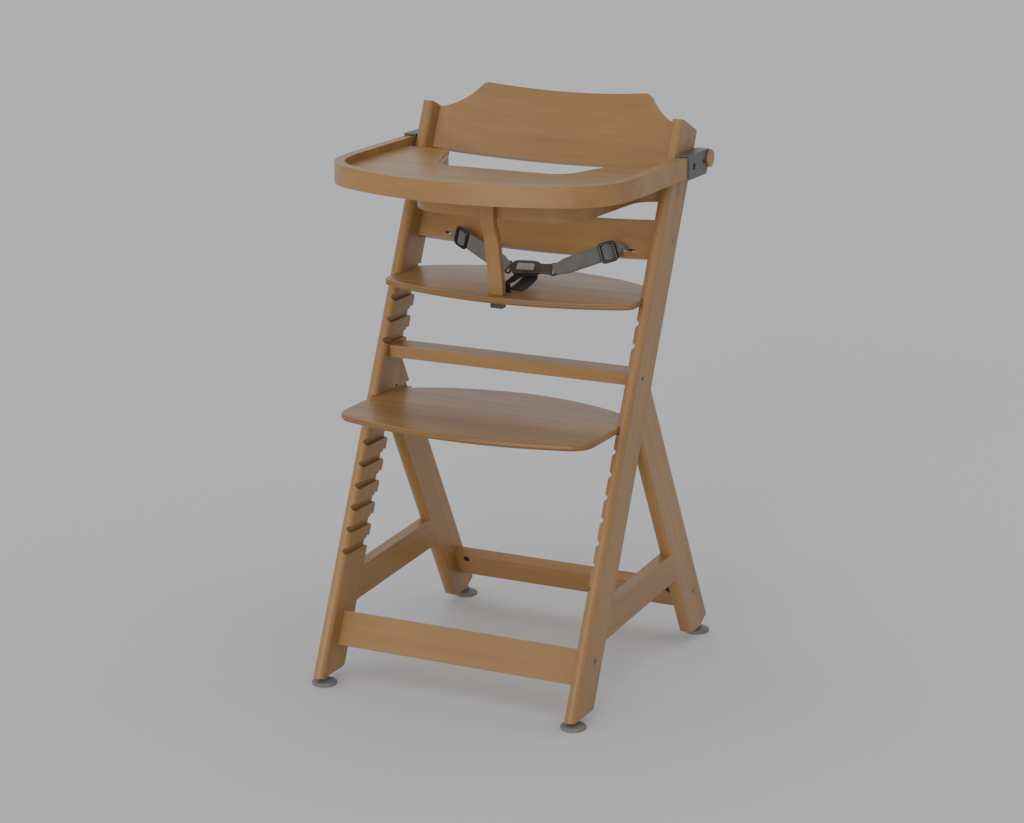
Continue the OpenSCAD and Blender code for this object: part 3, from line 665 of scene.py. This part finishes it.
def lap_strap(name, node, stations, slider_at, tail=0.034):
    """One side of the lap belt: out of its slot, through the slider, round the tongue's bar
    and sewn back on itself."""
    points = [from_cad(*p) for p, w in stations]
    line = smooth_line(points, 14)
    ways = smooth_line([Vector(w).normalized() for p, w in stations], 14)
    frames = strap_frames(line, ways)
    end = line[-1]
    outward, inward = [], []
    for point, across, normal in frames:
        away = (point - end).length
        fold = 0.0010 + 0.0013 * math.exp(-((away / 0.004) ** 2))
        fold *= 1.0 if away < tail else math.exp(-(((away - tail) / 0.006) ** 2))
        wave = slider_wave((point - slider_at).dot((line[-1] - slider_at).normalized()))
        side = 1.0 if normal.dot(FACING) > 0 else -1.0
        lift = fold + (wave if (point - slider_at).length < 0.02 else 0.0)
        outward.append((point + normal * side * lift, across, normal))
        if away < tail:
            inward.append((point - normal * side * fold, across, normal))
    ahead = (line[-1] - line[-2]).normalized()
    last_across, last_normal = frames[-1][1], frames[-1][2]
    side = 1.0 if last_normal.dot(FACING) > 0 else -1.0
    turn = []
    for k in range(1, 8):
        a = math.pi * k / 8
        place = end + ahead * 0.0023 * math.sin(a) + last_normal * side * 0.0023 * math.cos(a)
        turned = last_normal * math.cos(a) + ahead * side * math.sin(a)
        turn.append((place, last_across, turned))
    back = [(p, a, -n) for p, a, n in reversed(inward)]
    whole = outward + turn + back
    widths = []
    for point, _, _ in whole:
        # gathered where it leaves the slot and where it goes through the tongue
        past_slot = max(0.0, (point - line[0]).length - GATHERED_TO)
        slot_share = min(1.0, past_slot / SPREAD_AFTER_SLOT)
        loop_share = min(1.0, (point - end).length / SPREAD_AFTER_LOOP)
        at_slot = SHARE_AT_SLOT + (1 - SHARE_AT_SLOT) * slot_share**1.5
        at_loop = SHARE_AT_LOOP + (1 - SHARE_AT_LOOP) * loop_share
        widths.append(STRAP_W * min(at_slot, at_loop))
    shell = Shell()
    length = ribbon(shell, whole, widths)
    seam = [f for f in outward if 0.010 < (f[0] - end).length < tail - 0.004]
    signed = [(p, a * side, n * side) for p, a, n in seam]
    if len(signed) > 2:
        stitch_rows(shell, signed, (-0.0082, -0.0028, 0.0028, 0.0082))
    piece = shell.make(name, "grey_webbing", "chair", "weave")
    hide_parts(node)
    return frames


def rounded_path(half_a, half_b, radius, steps=6):
    """Closed path round a rectangle with rounded corners, as (a, b) pairs."""
    path = []
    for quarter, (sa, sb) in enumerate(((1, 1), (-1, 1), (-1, -1), (1, -1))):
        for k in range(steps + 1):
            angle = math.pi / 2 * (quarter + k / steps)
            path.append(
                (
                    sa * (half_a - radius) + radius * math.cos(angle),
                    sb * (half_b - radius) + radius * math.sin(angle),
                )
            )
    return path


def bar_ring(centre, side, up, width, thick, count=12):
    """Rounded section of a moulded bar."""
    ring = []
    for k in range(count):
        a = math.tau * k / count
        c, s = math.cos(a), math.sin(a)
        x = math.copysign(abs(c) ** 0.65, c) * width / 2
        y = math.copysign(abs(s) ** 0.65, s) * thick / 2
        ring.append(centre + side * x + up * y)
    return ring


def frame_loop(shell, centre, ea, eb, up, half_a, half_b, radius, width, thick):
    """Closed moulded frame in the plane of ea and eb."""
    path = rounded_path(half_a, half_b, radius)
    rings = []
    for i, (a, b) in enumerate(path):
        pa, pb = path[i - 1]
        na, nb = path[(i + 1) % len(path)]
        ahead = (ea * (na - pa) + eb * (nb - pb)).normalized()
        rings.append(bar_ring(centre + ea * a + eb * b, ahead.cross(up), up, width, thick))
    shell.loft(rings, looped=True)


def straight_bar(shell, a, b, side, up, width, thick):
    rings = [bar_ring(a.lerp(b, k / 6), side, up, width, thick) for k in range(7)]
    shell.loft(rings)


def make_slider(name, node, frames, centre):
    """Three-bar adjuster: a rounded frame and the middle bar that the strap runs over."""
    index = min(range(len(frames)), key=lambda i: (frames[i][0] - centre).length)
    across, normal = frames[index][1], frames[index][2]
    if normal.dot(FACING) < 0:
        normal = -normal
    ahead = (frames[index + 2][0] - frames[index - 2][0]).normalized()
    across = (across - ahead * across.dot(ahead)).normalized()
    normal = (normal - ahead * normal.dot(ahead) - across * normal.dot(across)).normalized()
    shell = Shell()
    middle = centre + normal * 0.0013
    frame_loop(shell, middle, ahead, across, normal, *SLIDER_FRAME)
    bar = centre + normal * 0.0008
    reach = across * SLIDER_BAR_HALF
    straight_bar(shell, bar - reach, bar + reach, ahead, normal, *SLIDER_BAR_SECTION)
    piece = shell.make(name, "grey_plastic", "chair")
    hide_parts(node)


# ---- buckle ----------------------------------------------------------------------------

BUCKLE_AT = from_cad(3, 239, 556)
BUCKLE_TURN = (50, -1, 8)
BUCKLE_SIZE = (0.042, 0.021, 0.0094)
# frames, each as half along the buckle, half across it, corner, bar width and thickness
BUTTON_LIP = (0.0136, 0.0062, 0.0025, 0.0016, 0.0014)
TONGUE_LOOP = (0.0030, 0.0088, 0.0022, 0.0026, 0.0032)
# how far each tongue stands out of the buckle
TONGUES = (("left", -1, 0.008), ("right", 1, 0.022))


def buckle_axes():
    turn = Matrix.Rotation(math.radians(BUCKLE_TURN[2]), 3, "Z")
    turn = turn @ Matrix.Rotation(math.radians(BUCKLE_TURN[1]), 3, "Y")
    turn = turn @ Matrix.Rotation(math.radians(BUCKLE_TURN[0]), 3, "X")
    return turn.col[0].copy(), turn.col[1].copy(), turn.col[2].copy()


def slab_ring(centre, ey, ez, half_y, half_z, power=0.32, count=28):
    ring = []
    for k in range(count):
        a = math.tau * (k + 0.5) / count
        c, s = math.cos(a), math.sin(a)
        y = math.copysign(abs(c) ** power, c) * half_y
        z = math.copysign(abs(s) ** power, s) * half_z
        ring.append(centre + ey * y + ez * z)
    return ring


def make_buckle():
    ex, ey, ez = buckle_axes()
    length, width, thick = BUCKLE_SIZE
    shell = Shell()
    rings = []
    count = 22
    for k in range(count + 1):
        s = -1 + 2 * k / count
        # rounded ends, a soft waist on the side where the tongues go in
        end = (1 - abs(s) ** 14) ** 0.5 if abs(s) < 1 else 0.0
        half_y = width / 2 * (0.80 + 0.20 * (1 - abs(s) ** 4)) * max(end, 0.72)
        half_z = thick / 2 * (0.74 + 0.26 * (1 - s * s)) * max(end, 0.62)
        rings.append(slab_ring(BUCKLE_AT + ex * s * length / 2, ey, ez, half_y, half_z))
    shell.loft(rings)
    # raised lip round the button
    lip = BUCKLE_AT + ez * (thick / 2 - 0.0004)
    frame_loop(shell, lip, ex, ey, ez, *BUTTON_LIP)
    body = shell.make("buckle_shell", "brown_plastic", "chair")
    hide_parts("buckle_body")
    shell = Shell()
    rings = []
    for height, inset in ((-0.0012, 0.0), (0.0002, 0.0), (0.0006, 0.0005), (0.0007, 0.0016)):
        path = rounded_path(0.0126 - inset, 0.0052 - inset, 0.0018)
        centre = BUCKLE_AT + ez * (thick / 2 + height - 0.0003)
        rings.append([centre + ex * a + ey * b for a, b in path])
    shell.loft(rings)
    button = shell.make("buckle_press", "button_plastic", "button")
    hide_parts("buckle_button")
    for name, side, reach in TONGUES:
        make_tongue(name, side, reach)


def make_tongue(name, side, reach):
    """Moulded tongue: a plate out of the buckle that ends in a loop for the strap."""
    ex, ey, ez = buckle_axes()
    ex = ex * side
    root = BUCKLE_AT + ex * (BUCKLE_SIZE[0] / 2)
    shell = Shell()
    plate_end = reach - 0.0064
    if plate_end > 0.002:
        rings = []
        count = 10
        for k in range(count + 1):
            s = k / count
            place = root + ex * (-0.006 + (plate_end + 0.006) * s)
            narrow = 1.0 - 0.14 * math.sin(math.pi * s)
            rings.append(slab_ring(place, ey, ez, 0.0086 * narrow, 0.0021, 0.4, 20))
        shell.loft(rings)
    centre = root + ex * (reach - 0.0036)
    frame_loop(shell, centre, ex, ey, ez, *TONGUE_LOOP)
    piece = shell.make(name + "_tongue_loop", "brown_plastic", "chair")
    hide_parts(name + "_tongue")


# ---- crotch strap ----------------------------------------------------------------------


def make_crotch_strap():
    """Up through the seat's slot, over and down to the buckle, and a free end on the seat."""
    path = [
        (0, 174, 527),
        (0, 174, 533),
        (0.3, 173.4, 541),
        (2, 177, 548.6),
        (5.5, 189, 550.6),
        (9, 205, 550.2),
        (12, 224, 549.4),
        (12.5, 231, 548.4),
        (12.5, 232.5, 546.2),
        (12.5, 229, 543.8),
        (13, 214, 540.6),
        (13.5, 199, 538.4),
        (13, 184, 537.4),
    ]
    # the way the strap's width points at each place: flat, turned on edge, flat again
    ways = [(1, 0, 0)] * 3
    ways += [(0.82, -0.1, 0.5), (0.66, -0.15, 0.72), (0.75, -0.1, 0.6)]
    ways += [(0.97, -0.1, 0.12)] * 3
    ways += [(1, 0.02, 0.0)] * 4
    line = smooth_line([from_cad(*p) for p in path], 8)
    across = smooth_line([Vector(w).normalized() for w in ways], 8)
    frames = strap_frames(line, across)
    shell = Shell()
    length = ribbon(shell, frames, [CROTCH_W] * len(frames))
    piece = shell.make("crotch_webbing", "olive_webbing", "chair", "weave")
    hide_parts("crotch_strap")


# ---- fasteners and pads ----------------------------------------------------------------

# the rear legs' base line and the side frames' outer faces, in the CAD's millimetres
REAR_Y = 389.3
OUTER_X = 198.2
HEAD_R = 5.2
BOLT_SHANK_R = 3.0
SCREW_SHANK_R = 2.2


def lean_point(u, v):
    y = POST_Y + u * math.cos(LEAN) + v * math.sin(LEAN)
    return y, v * math.cos(LEAN) - u * math.sin(LEAN)


def rear_point(p, q):
    y = REAR_Y + p * math.cos(REAR_TILT) - q * math.sin(REAR_TILT)
    return y, p * math.sin(REAR_TILT) + q * math.cos(REAR_TILT)


def hex_recess(angle):
    sector = math.tau / 6
    return 2.5 * math.cos(sector / 2) / math.cos(angle % sector - sector / 2)


def cross_recess(angle):
    return 0.9 + 1.8 * abs(math.cos(2 * angle)) ** 3


def make_heads(name, node, sites, recess, shank_r):
    shell = Shell()
    count = 48
    for side in (-1, 1):
        for y, z in sites:
            rings = []
            profile = (
                (-16.0, lambda a: shank_r),
                (-2.5, lambda a: shank_r),
                (-2.4, lambda a: HEAD_R),
                (-0.45, lambda a: HEAD_R),
                (-0.12, lambda a: 4.85),
                (0.0, lambda a: 4.3),
                (0.0, lambda a: recess(a) + 0.25),
                (-0.25, recess),
                (-1.8, lambda a: recess(a) * 0.92),
            )
            for depth, radius in profile:
                ring = []
                for k in range(count):
                    a = math.tau * k / count
                    r = radius(a)
                    ring.append(
                        from_cad(
                            side * (OUTER_X + depth), y + r * math.cos(a), z + r * math.sin(a)
                        )
                    )
                rings.append(shell.ring(ring))
            for a, b in zip(rings, rings[1:]):
                shell.bridge(a, b)
            shell.cap(rings[0], True)
            shell.fan(rings[-1], from_cad(side * (OUTER_X - 2.1), y, z))
    piece = shell.make(name, "zinc_steel", "chair", crease=30)
    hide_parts(node)


def make_pad(node, body):
    """Domed floor pad with a knurled rim."""
    low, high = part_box(node)
    cx, cy = (low[0] + high[0]) / 2, (low[1] + high[1]) / 2
    radius = (high[0] - low[0]) / 2
    height = high[2] - low[2]
    profile = (
        (0.93, 0.0, 0.0),
        (0.985, 0.07, 0.4),
        (1.0, 0.20, 1.0),
        (1.0, 0.52, 1.0),
        (0.965, 0.66, 0.6),
        (0.86, 0.78, 0.0),
        (0.68, 0.90, 0.0),
        (0.46, 0.98, 0.0),
        (0.44, 1.0, 0.0),
        (0.37, 1.0, 0.0),
    )
    shell = Shell()
    count, teeth = 120, 30
    rings = []
    for share, rise, knurl in profile:
        ring = []
        for k in range(count):
            a = math.tau * k / count
            ripple = -0.0007 * knurl * (0.5 - 0.5 * math.cos(teeth * a))
            r = radius * share + ripple
            ring.append((cx + r * math.cos(a), cy + r * math.sin(a), low[2] + rise * height))
        rings.append(shell.ring(ring))
    for a, b in zip(rings, rings[1:]):
        shell.bridge(a, b)
    shell.fan(rings[0], (cx, cy, low[2]), True)
    shell.fan(rings[-1], (cx, cy, low[2] + height))
    piece = shell.make(node + "_knurled", "pad_plastic", body, crease=50)
    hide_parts(node)


# the lap straps' middle lines in the CAD's millimetres, each with the way its width points
LEFT_STATIONS = [
    ((-133, 304, 576.5), (1, 0, 0)),
    ((-132, 285, 584.5), (1, 0, 0)),
    ((-122.5, 275.5, 586), (0.31, -0.11, 0.94)),
    ((-101, 267, 579), (0.31, -0.11, 0.94)),
    ((-66, 254, 568), (0.2, 0.25, 0.95)),
    ((-24.3, 235.2, 555.5), (0, 0.6, 0.8)),
]
RIGHT_STATIONS = [
    ((133, 304, 576.5), (1, 0, 0)),
    ((132, 285, 584.5), (1, 0, 0)),
    ((123, 274, 586), (-0.3, 0.1, 0.94)),
    ((101, 264, 579), (-0.3, 0.1, 0.94)),
    ((76, 254, 569), (0, 0.4, 0.9)),
    ((43.8, 244.7, 556.7), (0.1, 0.62, 0.78)),
]

make_camera()
make_world(WORLD_STRENGTH)
make_floor()
sun_light("key", KEY_FROM, KEY_STRENGTH, KEY_SPREAD, KEY_COLOUR)
materials = make_materials()
dress_nodes(materials)
for label, stations in (("left", LEFT_STATIONS), ("right", RIGHT_STATIONS)):
    middle = (from_cad(*stations[2][0]) + from_cad(*stations[3][0])) / 2
    frames = lap_strap(label + "_webbing", label + "_strap", stations, middle)
    make_slider(label + "_adjuster", label + "_slider", frames, middle)
make_buckle()
make_crotch_strap()
make_heads(
    "bolt_heads",
    "frame_bolts",
    (lean_point(25, 98), rear_point(32, 69), (193, 431.5)),
    hex_recess,
    BOLT_SHANK_R,
)
make_heads(
    "screw_heads",
    "board_screws",
    (lean_point(25.5, 812), lean_point(33, 674), (305.7, 682.4), (304.7, 663.7)),
    cross_recess,
    SCREW_SHANK_R,
)
for side in ("left", "right"):
    for end in ("front", "rear"):
        make_pad(f"{end}_{side}_pad", f"{end}_{side}_foot")
